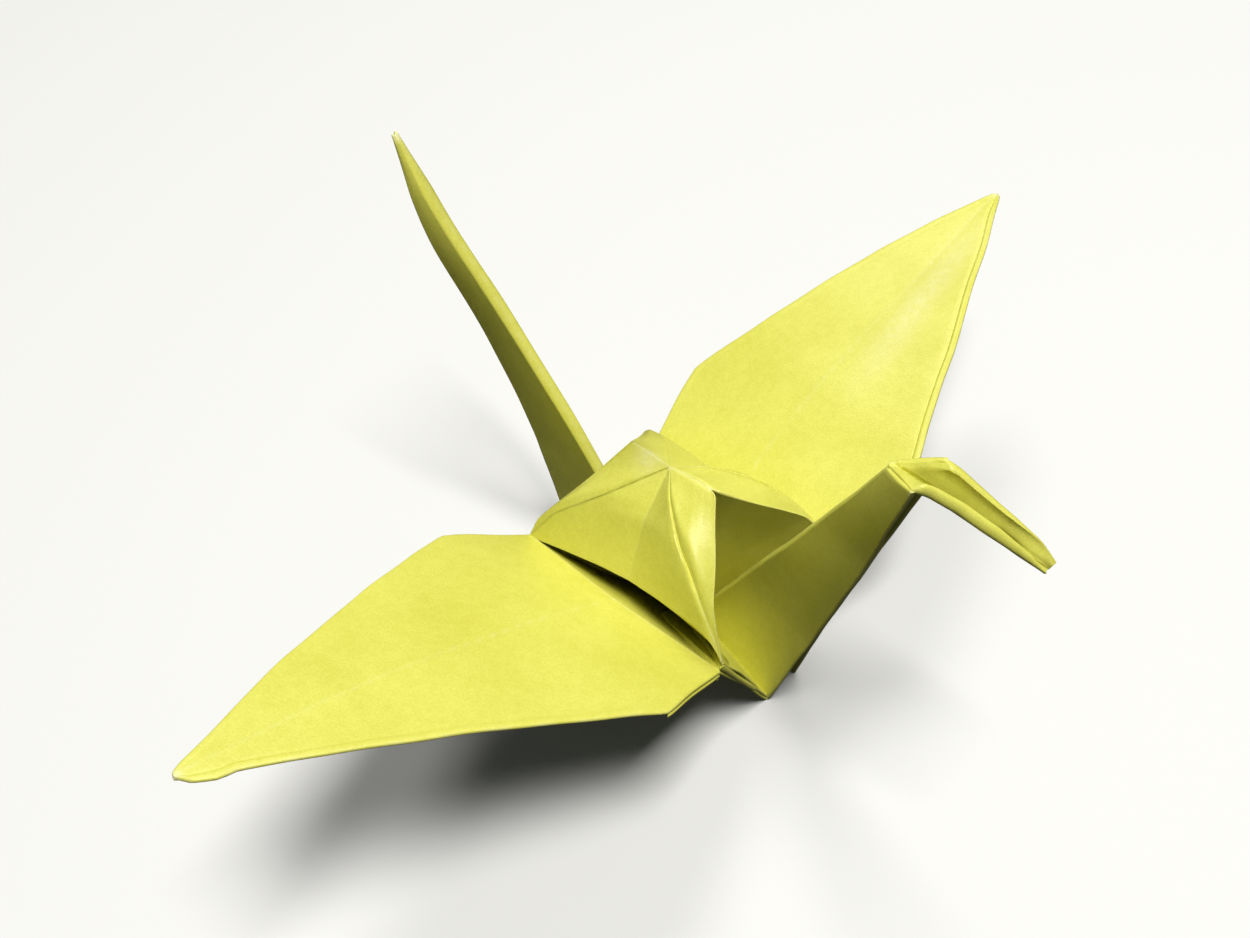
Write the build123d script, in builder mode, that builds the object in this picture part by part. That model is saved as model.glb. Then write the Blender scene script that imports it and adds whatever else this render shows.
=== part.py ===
"""Origami crane: one square of paper, folded flat and then opened, with no cut and no glue.

Frame: X runs from the tail to the head, Y from the near wing to the far wing, Z up.
The crane stands on the four corners of its keel, where the neck and the tail fold up.
Every crease lies where the square puts it: the lengths come from the side of the square
and from the turns of the bird base, 45 degrees halved and halved again.
"""
import os
from math import cos, radians, sin, tan

from build123d import *

# The sheet
paper = 75.0  # side of the square
ply = 0.09  # thickness of the paper
air = 0.08  # air left between the two layers of a wing
slit = 0.18  # gap between two edges that meet along a leg or under a wing
lap = 0.02  # layers that are pressed together share this much

# The body, opened out
rim_bend = 15.0  # degrees that each half of a pocket's rim turns from straight
rim_bow = 0.6  # the rim's middle stands this far outside the line of its ends
rim_height = 8.4  # middle of a rim above the table
rim_rise = 1.6  # head end of a rim above its tail end
rim_spread_tail = 6.0  # a rim's tail end from the middle plane
rim_spread_head = 5.6  # a rim's head end from the middle plane
pocket_in = 0.75  # lower edge of the hump inside the rim
pocket_up = 1.4  # and above it
wall_slope = 47.0  # lean of a pocket's wall from the level, in degrees

# The hump, with a short level ridge through the middle of the square
hump_rise = 7.5  # middle of the square above the rims
hump_back = 0.7  # middle of the square behind the middle of the rims
crown_tail = 3.2  # the ridge runs this far behind the middle of the square
crown_head = 3.4  # and this far before it
crown_lift = 0.65  # its head end stands this far above the rest

# The puffed creases of the hump, each with one knee between its ends
knee_tail = 0.7  # share of a tail crease, from the middle of the square to its knee
knee_head = 0.5
swell_back = 0.65  # the tail knees stand this far behind the line of the crease's ends
swell_out = 0.9  # the head knees stand this far outside it
swell_up_tail = 0.65  # and the knees stand this far above it
swell_up_head = 1.5
edge_knee = 0.65  # share of an edge of the roof, from the ridge's end to its knee
edge_swell = 0.7  # the edges' knees swell by this share of the creases' swell
front_out = 0.4  # swell of the roof's middle crease, out and up
front_up = 0.7

# The keel
keel_spread = 1.4  # a keel corner from the middle plane
keel_tail = 9.4  # tail keel corners behind the middle of the rims
keel_head = 8.7  # head keel corners before it
spine_gap = 0.95  # root of the neck or tail from the middle of the rims
root_height = 1.6  # root of the neck and tail above the table
foot = 0.12  # height by which the keel's folds are pressed flat on the table

# Tail, neck and head
tail_angle = 53.4  # degrees from the level
neck_angle = 62.7
neck_lean = 1.4  # lean of the neck's end towards the far wing
head_ridge = 9.4  # ridge of the head, from the neck to the tip of the beak
head_hem = 7.8  # open edge of the head
head_spread = 1.4  # open edge of the head from its middle, at the neck
head_fan = 0.25  # the head's layers spread this much more at the open edge
head_turn = 1.9  # the beak's further lean towards the far wing
head_close = 0.7  # share of that opening which is left half-way to the beak
pressed_from = 0.3  # the neck and tail are pressed flat from this share of their length
pressed_to = 0.7  # and the neck up to this share
leg_end = 0.97  # share of a leg that is left where its tip is blunt

# The wings
near_lift = 25.4  # degrees above the level
near_sweep = 5.1  # degrees towards the tail
near_roll = -2.2  # degrees about the wing's length
near_bow = 1.35  # rise of the wing's middle above a straight line
far_lift = 12.9
far_sweep = 0.4
far_roll = -5.1
far_bow = 1.3
camber = 0.25  # rise of a wing's centre crease above its edges
belly = 0.27  # swell of a wing's straight edge at its middle
tip_width = 0.9  # blunt end of a wing
wing_stations = (0.25, 0.5, 0.75, 0.97)  # shares of the way from its widest place to its tip
overrun = 0.1  # share of a rim's half width by which the cut along it runs past its ends

# Creases of the flat bird base, worked out from the square
half_turn = radians(22.5)  # the first narrow fold halves 45 degrees
thin_turn = radians(11.25)  # thinning the legs halves it again
leg = paper / 2  # hinge line to any of the four tips
apex = leg * tan(half_turn)  # hinge line to the middle of the square
to_hinge = leg / cos(thin_turn)  # these three run along the thinning crease, from its tip
to_rim = (leg + apex) / (cos(thin_turn) + sin(thin_turn))
to_corner = paper * tan(half_turn) / (sin(thin_turn) + cos(thin_turn) * tan(half_turn))
rim_half = to_rim * sin(thin_turn)
pocket_depth = to_rim * cos(thin_turn) - leg
corner_half = to_corner * sin(thin_turn)
corner_out = (to_corner - to_rim) * cos(thin_turn)
wing_length = paper - to_rim * cos(thin_turn)
flap_top = leg / cos(half_turn) - leg  # top of the folded-in flap above the hinge line
flap_inner = pocket_depth - flap_top  # inner end of the flap on the rim, from the middle

# Stacks of layers
roof = ply
wall = 2 * ply
stack = 4 * ply
wing_depth = wall + air
leg_half = stack + slit / 2  # half the thickness of the neck or tail, eight layers
round_over = 1.15  # a crease bulges a little over the layers that it joins

# Points of the body on the far side, where y is positive
ends = ("tail", "head")
rim_reach = rim_half * cos(radians(rim_bend))
top = Vector(-hump_back, 0, rim_height + hump_rise)
crown = {"tail": top - Vector(crown_tail, 0, 0), "head": top + Vector(crown_head, 0, crown_lift)}
rim = {
    "tail": Vector(-rim_reach, rim_spread_tail, rim_height - rim_rise / 2),
    "head": Vector(rim_reach, rim_spread_head, rim_height + rim_rise / 2),
}
keel = {"tail": Vector(-keel_tail, keel_spread, 0), "head": Vector(keel_head, keel_spread, 0)}
root = {"tail": Vector(-spine_gap, 0, root_height), "head": Vector(spine_gap, 0, root_height)}
hinge = {
    end: rim[end] + (keel[end] - rim[end]).normalized() * (to_rim - to_hinge) for end in ends
}
rim_line = (rim["tail"] + rim["head"]) / 2
rim_width = (rim["head"] - rim["tail"]).length / 2
hump_edge = rim_line + Vector(0, -pocket_in, pocket_up)
swell = {
    "tail": Vector(-swell_back, 0, swell_up_tail),
    "head": Vector(0, swell_out, swell_up_head),
}
knee_share = {"tail": knee_tail, "head": knee_head}
knee = {end: top + (rim[end] - top) * knee_share[end] + swell[end] for end in ends}
edge = {
    end: crown[end] + (rim[end] - crown[end]) * edge_knee + swell[end] * edge_swell
    for end in ends
}
front = (top + hump_edge) / 2 + Vector(0, front_out, front_up)
slope = radians(wall_slope)
hinge_middle = rim_line + Vector(0, -cos(slope), -sin(slope)) * pocket_depth

# Lift, sweep, roll and bow of the wing on each side
wing_pose = {
    -1: (near_lift, near_sweep, near_roll, near_bow),
    1: (far_lift, far_sweep, far_roll, far_bow),
}


def seen_from(side, point):
    """A point of the far half, or its mirror image in the near half."""
    return Vector(point.X, side * point.Y, point.Z)


def between(start, end, share):
    return start + (end - start) * share


def panel(corners, thickness, shift=0.0, away_from=None):
    """A flat triangle of paper, shifted off its corners away from a point."""
    first, second, third = corners
    normal = (second - first).cross(third - first).normalized()
    if away_from is not None and normal.dot(first - away_from) < 0:
        normal = normal * -1
    lie = Plane(origin=first + normal * shift, x_dir=second - first, z_dir=normal)
    outline = [lie.to_local_coords(corner + normal * shift) for corner in corners]
    with BuildSketch(lie) as triangle:
        with BuildLine():
            Polyline([(point.X, point.Y) for point in outline], close=True)
        make_face()
    extrude(triangle.sketch, amount=thickness / 2, both=True)


def crease(start, end, thickness):
    """The outside of a fold between two points, where the layers turn round each other."""
    along = end - start
    with BuildSketch(Plane(origin=start, z_dir=along)) as bulge:
        RegularPolygon(thickness / 2 * round_over, side_count=8)
    extrude(bulge.sketch, amount=along.length)


def wing_ways(side):
    """The ways across a wing, out along it and up from it."""
    lift, sweep, roll, _ = wing_pose[side]
    across = (seen_from(side, rim["head"]) - seen_from(side, rim["tail"])).normalized()
    rise, turn = radians(lift), radians(sweep)
    out = Vector(-sin(turn) * cos(rise), side * cos(turn) * cos(rise), sin(rise))
    up = across.cross(out).normalized() * side
    length = Axis((0, 0, 0), out)
    return across.rotate(length, roll), out, up.rotate(length, roll)


def wing_half(distance):
    """Half the width of a wing at a distance from the line of its rim."""
    if distance < corner_out:
        return between(rim_width, corner_half, distance / corner_out)
    share = (distance - corner_out) / (wing_length - corner_out)
    return max(corner_half * (1 - share) + 4 * belly * share * (1 - share), tip_width / 2)


def on_wing(side, distance, aside=0.0, below=0.0):
    """A point of a wing, below its upper face, by its places along and across it."""
    across, out, up = wing_ways(side)
    share = distance / wing_length
    bow = 4 * wing_pose[side][3] * share * (1 - share)
    rise = camber * (wing_half(distance) - abs(aside)) / corner_half
    return seen_from(side, rim_line) + out * distance + across * aside + up * (bow + rise - below)


def wing_section(side, distance):
    """One layer over two flaps, which are folded in at the edges and meet in a slit."""
    across, _, up = wing_ways(side)
    half = wing_half(distance)
    edge_drop = camber * half / corner_half
    lie = Plane(on_wing(side, distance), x_dir=across, z_dir=across.cross(up))
    with BuildSketch(lie) as section:
        with BuildLine():
            Polyline(
                (-half, -edge_drop),
                (0, 0),
                (half, -edge_drop),
                (half, -edge_drop - wing_depth),
                (slit / 2, -wing_depth),
                (slit / 2, ply - wing_depth),
                (half - ply, ply - edge_drop - wing_depth),
                (half - ply, -edge_drop - ply),
                (0, -ply),
                (ply - half, -edge_drop - ply),
                (ply - half, ply - edge_drop - wing_depth),
                (-slit / 2, ply - wing_depth),
                (-slit / 2, -wing_depth),
                (-half, -edge_drop - wing_depth),
                close=True,
            )
        make_face()
    return section.sketch


def wing(side):
    """A wing from its bowed rim to its blunt tip."""
    stations = [0, corner_out]
    stations += [between(corner_out, wing_length, share) for share in wing_stations]
    loft([wing_section(side, distance) for distance in stations], ruled=True)

    # The wing starts at the bowed rim, a little outside the line of its ends
    across, _, up = wing_ways(side)
    end = (1 + overrun) * rim_width
    end_bow = -overrun * side * rim_bow
    clear = -2 * side * rim_bow
    lie = Plane(seen_from(side, rim_line), x_dir=across, z_dir=up)
    with BuildSketch(lie) as mouth:
        with BuildLine():
            Polyline(
                (-end, end_bow),
                (0, side * rim_bow),
                (end, end_bow),
                (end, clear),
                (-end, clear),
                close=True,
            )
        make_face()
    extrude(mouth.sketch, amount=stack + wing_depth, both=True, mode=Mode.SUBTRACT)

    # The leg's thinned edge shows under each corner of the wing, in two more layers
    under = wing_depth + wall / 2 - lap
    inset = rim_bow * (1 - flap_inner / rim_width)
    for way in (-1, 1):
        corner = on_wing(side, 0, way * rim_width, under)
        widest = on_wing(side, corner_out, way * corner_half, under)
        inner = on_wing(side, inset, way * flap_inner, under)
        panel((corner, widest, inner), wall)


def body_half(side):
    """Roof of the hump, pocket walls, gussets and lower walls of one half."""
    middle = Vector(0, 0, rim_height)
    hump, fold, brow = [seen_from(side, p) for p in (hump_edge, hinge_middle, front)]
    mouth = on_wing(side, rim_bow, below=wing_depth / 2)
    crease(top, brow, roof)
    crease(brow, hump, roof)
    crease(hump, fold, roof)
    for end in ends:
        corner, heel, base = [seen_from(side, group[end]) for group in (rim, hinge, keel)]
        bend, turn = seen_from(side, knee[end]), seen_from(side, edge[end])
        # The hump's roof and the pocket's inner wall are one layer
        panel((top, bend, crown[end]), roof)
        panel((bend, turn, crown[end]), roof)
        panel((bend, corner, turn), roof)
        panel((top, bend, brow), roof)
        panel((brow, bend, hump), roof)
        panel((bend, corner, hump), roof)
        panel((hump, corner, fold), roof)
        # The gusset runs in from the hump's edge to the spine of the neck or tail
        panel((crown[end], turn, root[end]), roof)
        panel((turn, corner, root[end]), roof)
        panel((corner, base, root[end]), roof)
        # The pocket's outer wall carries the wing, and all layers meet below the hinge
        panel((mouth, corner, fold), wall)
        panel((corner, heel, fold), stack)
        panel((fold, heel, root[end]), stack)
        panel((heel, base, root[end]), stack)
        crease(top, bend, roof)
        crease(bend, corner, roof)
        crease(crown[end], turn, roof)
        crease(turn, corner, roof)
        crease(hump, corner, roof)
        crease(mouth, corner, wing_depth)
        crease(corner, base, stack)
        crease(fold, heel, stack - ply)
        crease(base, root[end], 2 * stack)
        flap(corner, fold, mouth, middle)


def flap(corner, fold, mouth, middle):
    """The leg's thinned edge, folded over onto the outside of the pocket wall."""
    inner = mouth + (corner - mouth).normalized() * flap_inner
    tip = between(mouth, fold, 1 - flap_top / pocket_depth)
    panel((corner, inner, tip), wall, wall - lap, middle)
    panel((corner, tip, fold), stack, wall / 2 + stack / 2 - lap, middle)


def leg_section(back, hem, lean, hem_half, fan):
    """Eight layers across a leg: two stacks joined at the ridge and open at the hem."""
    line = hem - back
    hem_inner = hem_half - stack - fan
    lie = Plane(origin=back + Vector(0, lean, 0), x_dir=line, z_dir=line.cross(Vector(0, 1, 0)))
    with BuildSketch(lie) as section:
        with BuildLine():
            Polyline(
                (0, leg_half),
                (line.length, hem_half),
                (line.length, hem_inner),
                (wall, slit / 2),
                (wall, -slit / 2),
                (line.length, -hem_inner),
                (line.length, -hem_half),
                (0, -leg_half),
                close=True,
            )
        make_face()
    return section.sketch


def folded_leg(ridge, hem, leans, stations, fan=0.0):
    """A leg between its ridge and its hem, each given by its two ends."""
    sections = []
    for share, hem_half in stations:
        places = between(*ridge, share), between(*hem, share), between(*leans, share)
        sections.append(leg_section(*places, hem_half, fan * (1 - share)))
    loft(sections, ruled=True)


def leg_tip(end, way, angle):
    """Tip of a leg before the head is folded: a leg's length from its root."""
    turn = radians(angle)
    return root[end] + Vector(way * cos(turn), 0, sin(turn)) * leg


tail_tip = leg_tip("tail", -1, tail_angle)
neck_tip = leg_tip("head", 1, neck_angle)
tail_hem = Vector(-keel_tail, 0, 0)
neck_hem = Vector(keel_head, 0, 0)
nape = neck_tip + (root["head"] - neck_tip).normalized() * head_ridge
throat = neck_tip + (neck_hem - neck_tip).normalized() * head_hem
fold_line = (throat - nape).normalized()
beak = nape + fold_line * (2 * fold_line.dot(neck_tip - nape)) - (neck_tip - nape)

with BuildPart() as crane:
    for side in (-1, 1):
        wing(side)
    for side in (-1, 1):
        body_half(side)
    for end in ends:
        crease(top, crown[end], wall)
        crease(crown[end], root[end], wall)

    # The tail is splayed at the keel and pressed flat above it
    tail_stations = ((0, keel_spread), (pressed_from, leg_half), (leg_end, leg_half))
    folded_leg((root["tail"], tail_tip), (tail_hem, tail_tip), (0, 0), tail_stations)

    # The neck opens again at its upper end, round the root of the head
    pressed = ((pressed_from, leg_half), (pressed_to, leg_half))
    neck_stations = ((0, keel_spread), *pressed, (1, head_spread))
    folded_leg((root["head"], nape), (neck_hem, throat), (0, neck_lean), neck_stations)

    # The head is the neck's tip folded back inside out: a trough, open upward
    head_stations = ((0, head_spread), (0.5, head_close * head_spread), (leg_end, leg_half))
    head_leans = (neck_lean, neck_lean + head_turn)
    folded_leg((nape, beak), (throat, beak), head_leans, head_stations, head_fan)

    split(bisect_by=Plane.XY.offset(foot), keep=Keep.TOP)

box = crane.part.bounding_box()
crane.part.position = (-box.center().X, -box.center().Y, -box.min.Z)
crane.part.label = "folded_sheet"

os.makedirs("parts", exist_ok=True)
export_step(crane.part, "parts/folded_sheet.step")
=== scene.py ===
"""Looks of the origami crane: one square of paper, yellow-green on one side, white on the other.

X runs from the tail to the head, Y from the near wing to the far wing, and Z up. Sizes are in
millimetres and turns in degrees, until build() puts the mesh in metres where the CAD part is.
"""

import math

import bpy
import numpy as np
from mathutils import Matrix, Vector


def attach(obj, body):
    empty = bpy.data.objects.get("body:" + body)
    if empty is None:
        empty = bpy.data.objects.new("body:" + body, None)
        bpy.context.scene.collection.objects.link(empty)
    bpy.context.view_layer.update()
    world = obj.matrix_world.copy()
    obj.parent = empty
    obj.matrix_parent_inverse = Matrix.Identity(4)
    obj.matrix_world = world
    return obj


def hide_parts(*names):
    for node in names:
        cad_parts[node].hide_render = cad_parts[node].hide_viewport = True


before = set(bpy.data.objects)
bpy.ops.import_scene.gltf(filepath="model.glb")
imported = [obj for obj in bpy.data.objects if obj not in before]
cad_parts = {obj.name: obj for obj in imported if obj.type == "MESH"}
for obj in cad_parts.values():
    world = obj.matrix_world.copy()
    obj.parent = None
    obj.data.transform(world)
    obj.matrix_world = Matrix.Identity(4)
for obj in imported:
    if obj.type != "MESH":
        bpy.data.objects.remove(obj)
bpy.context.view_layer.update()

# The sheet
PAPER = 75.0  # side of the square
PLY = 0.09  # thickness of the paper
AIR = 0.08  # air left between the two layers of a wing
SLIT = 0.18  # gap between two edges that meet along a leg or under a wing
CLEAR = 0.01  # keeps layers that lie on each other apart

# The body, opened out
RIM_BEND = 15.0  # each half of a pocket's rim turns this far from straight
RIM_BOW = 0.6  # the rim's middle stands this far outside the line of its ends
RIM_HEIGHT = 8.4  # middle of a rim above the floor
RIM_RISE = 1.6  # head end of a rim above its tail end
RIM_SPREAD = {"tail": 6.0, "head": 5.6}  # ends of a rim from the middle plane
POCKET_IN = 0.75  # lower edge of the hump inside the rim
POCKET_UP = 1.4  # and above it
WALL_SLOPE = 47.0  # lean of a pocket's wall from the level
HUMP_RISE = 7.5  # middle of the square above the rims
HUMP_BACK = 0.7  # middle of the square behind the middle of the rims
CROWN_TAIL = 3.2  # the hump's ridge runs this far behind the middle of the square
CROWN_HEAD = 3.4  # and this far before it
CROWN_LIFT = 0.65  # its head end stands this far above the rest
KEEL_SPREAD = 1.4  # corners of the keel from the middle plane
KEEL = {"tail": -9.4, "head": 8.7}  # and along it from the middle of the rims
SPINE_GAP = 0.95  # root of the neck or tail from the middle of the rims
ROOT_HEIGHT = 1.6  # root of the neck and tail above the floor
FOOT = 0.12  # the keel's folds are pressed flat by this height

# Tail, neck and head
TAIL_ANGLE = 53.4  # from the level
NECK_ANGLE = 62.7
NECK_LEAN = 1.4  # lean of the neck's end towards the far wing
HEAD_RIDGE = 9.4  # ridge of the head, from the neck to the tip of the beak
HEAD_HEM = 7.8  # open edge of the head
HEAD_SPREAD = 1.4  # open edge of the head from its middle, at the neck
HEAD_TURN = 1.9  # the beak's further lean towards the far wing
LEG_END = 0.97  # share of a leg that is left where its tip is blunt
TAIL_END = 0.965  # share at which the tail's paper stops, just inside the CAD part
BEAK_END = 0.962  # and the beak's

# The wings
NEAR, FAR = SIDES = (-1, 1)
WAYS = {"tail": -1, "head": 1}  # the two ends of the crane, and the way to each
# Lift from the level, sweep towards the tail, roll about its length, and rise of its middle
WING = {
    NEAR: {"lift": 25.4, "sweep": 5.1, "roll": -2.2, "bow": 1.35},
    FAR: {"lift": 12.9, "sweep": 0.4, "roll": -5.1, "bow": 1.3},
}
BELLY = 0.27  # swell of a wing's straight edge at its middle
TIP_WIDTH = 0.9  # blunt end of a wing
WING_END = 0.97  # share of the way from a wing's widest place to its tip where it stops
CENTRING = np.array((0.2415, -1.1203, -0.12))  # the CAD part is centred on its box

# The bird base's creases, from the side of the square: 45 degrees halved, and halved again
half_turn, thin_turn = math.radians(22.5), math.radians(11.25)
leg = PAPER / 2
to_hinge = leg / math.cos(thin_turn)
to_rim = leg * (1 + math.tan(half_turn)) / (math.cos(thin_turn) + math.sin(thin_turn))
to_corner = PAPER * math.tan(half_turn)
to_corner /= math.sin(thin_turn) + math.cos(thin_turn) * math.tan(half_turn)
rim_half = to_rim * math.sin(thin_turn)
pocket_depth = to_rim * math.cos(thin_turn) - leg
corner_half = to_corner * math.sin(thin_turn)
corner_out = (to_corner - to_rim) * math.cos(thin_turn)
wing_length = PAPER - to_rim * math.cos(thin_turn)
flap_top = leg / math.cos(half_turn) - leg
flap_inner = pocket_depth - flap_top
WALL, STACK = 2 * PLY, 4 * PLY
wing_depth = WALL + AIR
leg_half = STACK + SLIT / 2


def vec(*values):
    return np.array(values, float)


def unit(v):
    return v / np.linalg.norm(v)


def turned(v, axis, degrees):
    a = math.radians(degrees)
    return v * math.cos(a) + np.cross(axis, v) * math.sin(a) + axis * (axis @ v) * (1 - math.cos(a))


def seen_from(side, point):
    return np.asarray(point) * vec(1, side, 1)


def between(start, end, share):
    return start + (end - start) * share


# Corners of the folded sheet, those beside the middle plane on the far side
reach = rim_half * math.cos(math.radians(RIM_BEND))
top = vec(-HUMP_BACK, 0, RIM_HEIGHT + HUMP_RISE)
crown = {"tail": top - vec(CROWN_TAIL, 0, 0), "head": top + vec(CROWN_HEAD, 0, CROWN_LIFT)}
rim = {
    end: vec(way * reach, RIM_SPREAD[end], RIM_HEIGHT + way * RIM_RISE / 2)
    for end, way in WAYS.items()
}
keel = {end: vec(KEEL[end], KEEL_SPREAD, 0) for end in WAYS}
root = {end: vec(way * SPINE_GAP, 0, ROOT_HEIGHT) for end, way in WAYS.items()}
hinge = {end: rim[end] + unit(keel[end] - rim[end]) * (to_rim - to_hinge) for end in WAYS}
rim_line = (rim["tail"] + rim["head"]) / 2
rim_width = np.linalg.norm(rim["head"] - rim["tail"]) / 2
hump_edge = rim_line + vec(0, -POCKET_IN, POCKET_UP)
slope = math.radians(WALL_SLOPE)
hinge_middle = rim_line + vec(0, -math.cos(slope), -math.sin(slope)) * pocket_depth
body_middle = vec(0, 0, 8.0)

# The piece's materials in the order of its slots, and which of them a shell shows on its outer
# face, its inner face and its rim: layers that are folded together show their front all round
FRONT, REVERSE, EDGE = 0, 1, 2
ONE_LAYER = (FRONT, REVERSE, EDGE)
FOLDED = (FRONT, FRONT, FRONT)

TINY = 1e-9
LEAST_LEAN = 0.6  # keeps a shell's inner points near where its faces meet at a sharp angle
RIM_ROUND = np.radians((60, 30, 0, -30, -60))  # steps round a bulging rim
BULGE = 0.3  # of a rim, as a share of its thickness


def edges_of(quads):
    """The edges of the faces, each in its face's direction, and those that only one face has."""
    edges = {(a, b) for quad in quads for a, b in zip(quad, quad[1:] + quad[:1])}
    return edges, [(a, b) for a, b in sorted(edges) if (b, a) not in edges]


def corner_normals(points, quads):
    """The normal at each point, and its cosine with the face there that leans from it most."""
    normals = np.zeros_like(points)
    flats = []
    for quad in quads:
        a, b, c, d = (points[i] for i in (quad[0], quad[1], quad[2], quad[-1]))
        normal = np.cross(c - a, d - b) if len(quad) == 4 else np.cross(b - a, c - a)
        normal = normal / max(np.linalg.norm(normal), TINY)
        flats.append(normal)
        for i in quad:
            normals[i] += normal
    normals /= np.maximum(np.linalg.norm(normals, axis=1), TINY)[:, None]
    lean = np.ones(len(points))
    for quad, normal in zip(quads, flats):
        for i in quad:
            lean[i] = min(lean[i], max(LEAST_LEAN, normals[i] @ normal))
    return normals, lean


def ways_out(points, normals, border):
    """The way out of the surface at each point of its border."""
    away = np.zeros_like(points)
    for a, b in border:
        way = np.cross(points[b] - points[a], normals[a] + normals[b])
        away[[a, b]] += way / max(np.linalg.norm(way), TINY)
    return away / np.maximum(np.linalg.norm(away, axis=1), TINY)[:, None]


class Sheet:
    """Closed shells of paper: their points and faces, and the material that each face shows."""

    def __init__(self):
        self.points, self.faces, self.sides, self.shade = [], [], [], []
        self.count = 0

    def add(self, points, quads, thickness, sides=ONE_LAYER, centred=False, bulge=0.0):
        """A shell behind the given outer faces, or centred on them; bulge rounds its rim.

        A fourth column of the points, where there is one, is painted shade, added to the wear
        there."""
        points = np.asarray(points, float)
        shade = points[:, 3] if points.shape[1] > 3 else np.zeros(len(points))
        points = points[:, :3]
        normals, lean = corner_normals(points, quads)
        offset = normals * (thickness / lean)[:, None]
        outer = points + offset / 2 if centred else points
        inner = outer - offset
        self.points += [outer, inner]
        self.shade += [shade, shade]

        _, border = edges_of(quads)
        rim_points = sorted({i for edge in border for i in edge})
        middle, half = (outer + inner)[rim_points] / 2, offset[rim_points] / 2
        away = ways_out(points, normals, border)[rim_points]
        thick = np.linalg.norm(offset, axis=1)[rim_points, None]
        turns = RIM_ROUND if bulge else [0.0]
        for turn in turns:
            out = away * thick * bulge * math.cos(turn)
            self.points.append(middle + half * math.sin(turn) + out)
            self.shade.append(shade[rim_points])

        number, start = len(points), self.count
        self.count += 2 * number + len(turns) * len(rim_points)
        for quad in quads:
            self.faces.append([start + i for i in quad])
            self.faces.append([start + number + i for i in reversed(quad)])
            self.sides += sides[:2]
        order = {i: k for k, i in enumerate(rim_points)}
        steps = [start + 2 * number + k * len(rim_points) for k in range(len(turns))]
        for a, b in border:
            ladder = [(start + a, start + b)]
            ladder += [(step + order[a], step + order[b]) for step in steps]
            ladder.append((start + number + a, start + number + b))
            for (a0, b0), (a1, b1) in zip(ladder, ladder[1:]):
                self.faces.append([b0, a0, a1, b1])
                self.sides.append(sides[2])


def weld(grids, rounds=0):
    """One mesh of grids of points that share their edges, softened this many times.

    Points in the same place become one, which keeps the first one's fourth column."""
    index, points, quads = {}, [], []
    for grid in grids:
        rows, columns = grid.shape[:2]
        ids = np.empty((rows, columns), int)
        for i in range(rows):
            for j in range(columns):
                key = tuple(np.round(grid[i, j, :3], 4) + 0.0)  # + 0.0 turns -0.0 into 0.0
                if key not in index:
                    index[key] = len(points)
                    points.append(grid[i, j])
                ids[i, j] = index[key]
        for i in range(rows - 1):
            for j in range(columns - 1):
                corners = [ids[i, j], ids[i + 1, j], ids[i + 1, j + 1], ids[i, j + 1]]
                quad = [int(c) for k, c in enumerate(corners) if c != corners[k - 1]]
                if len(quad) >= 3:
                    quads.append(quad)
    points = np.array(points)
    for _ in range(rounds):
        points = soften(points, quads)
    return points, quads


def soften(points, quads):
    """Moves each point half way to the middle of its neighbours, but none on an open edge."""
    edges, border = edges_of(quads)
    ends = np.array(list(edges))
    total, number = np.zeros_like(points), np.zeros(len(points))
    np.add.at(total, ends[:, 0], points[ends[:, 1]])
    np.add.at(number, ends[:, 0], 1)
    np.add.at(total, ends[:, 1], points[ends[:, 0]])
    np.add.at(number, ends[:, 1], 1)
    moved = (points + total / number[:, None]) / 2
    fixed = sorted({i for edge in border for i in edge})
    moved[fixed] = points[fixed]
    return moved


def facing(grid, reference):
    """The grid, turned so that its faces look away from a point."""
    places = grid[..., :3]
    i, j = grid.shape[0] // 2, grid.shape[1] // 2
    along, across = places[i, j] - places[i - 1, j], places[i, j] - places[i, j - 1]
    looks_away = np.cross(along, across) @ (places[i, j] - reference) > 0
    return grid if looks_away else grid[:, ::-1]


def spaced(number, crowd=0.0):
    """Shares from 0 to 1, crowded towards both ends."""
    t = np.linspace(0, 1, number)
    eased = (1 - np.cos(np.pi * t)) / 2
    return t * (1 - crowd) + eased * crowd


CURVE_SAMPLES = 101
CURVE_SMOOTH = 7  # samples to each side over which a curve's offsets are smoothed


def line(start, end, offsets=(), side=1):
    """A curve that stands off the chord of its ends by the given (share, (x, y, z)) offsets."""
    shares = [0.0] + [share for share, _ in offsets] + [1.0]
    shifts = np.array([(0, 0, 0)] + [shift for _, shift in offsets] + [(0, 0, 0)], float)
    shifts = seen_from(side, shifts)
    fine = np.linspace(0, 1, CURVE_SAMPLES)
    raw = np.stack([np.interp(fine, shares, shifts[:, k]) for k in range(3)], 1)
    kernel = np.hanning(2 * CURVE_SMOOTH + 1)
    kernel /= kernel.sum()
    padded = np.concatenate([-raw[CURVE_SMOOTH:0:-1], raw, -raw[-2 : -2 - CURVE_SMOOTH : -1]])
    smooth = np.stack([np.convolve(padded[:, k], kernel, "valid") for k in range(3)], 1)
    smooth[0] = smooth[-1] = 0.0

    def at(share):
        share = np.atleast_1d(share)
        shift = np.stack([np.interp(share, fine, smooth[:, k]) for k in range(3)], 1)
        return start + (end - start) * share[:, None] + shift

    return at


def point_curve(point):
    return lambda share: np.repeat(point[None], len(np.atleast_1d(share)), axis=0)


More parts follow.
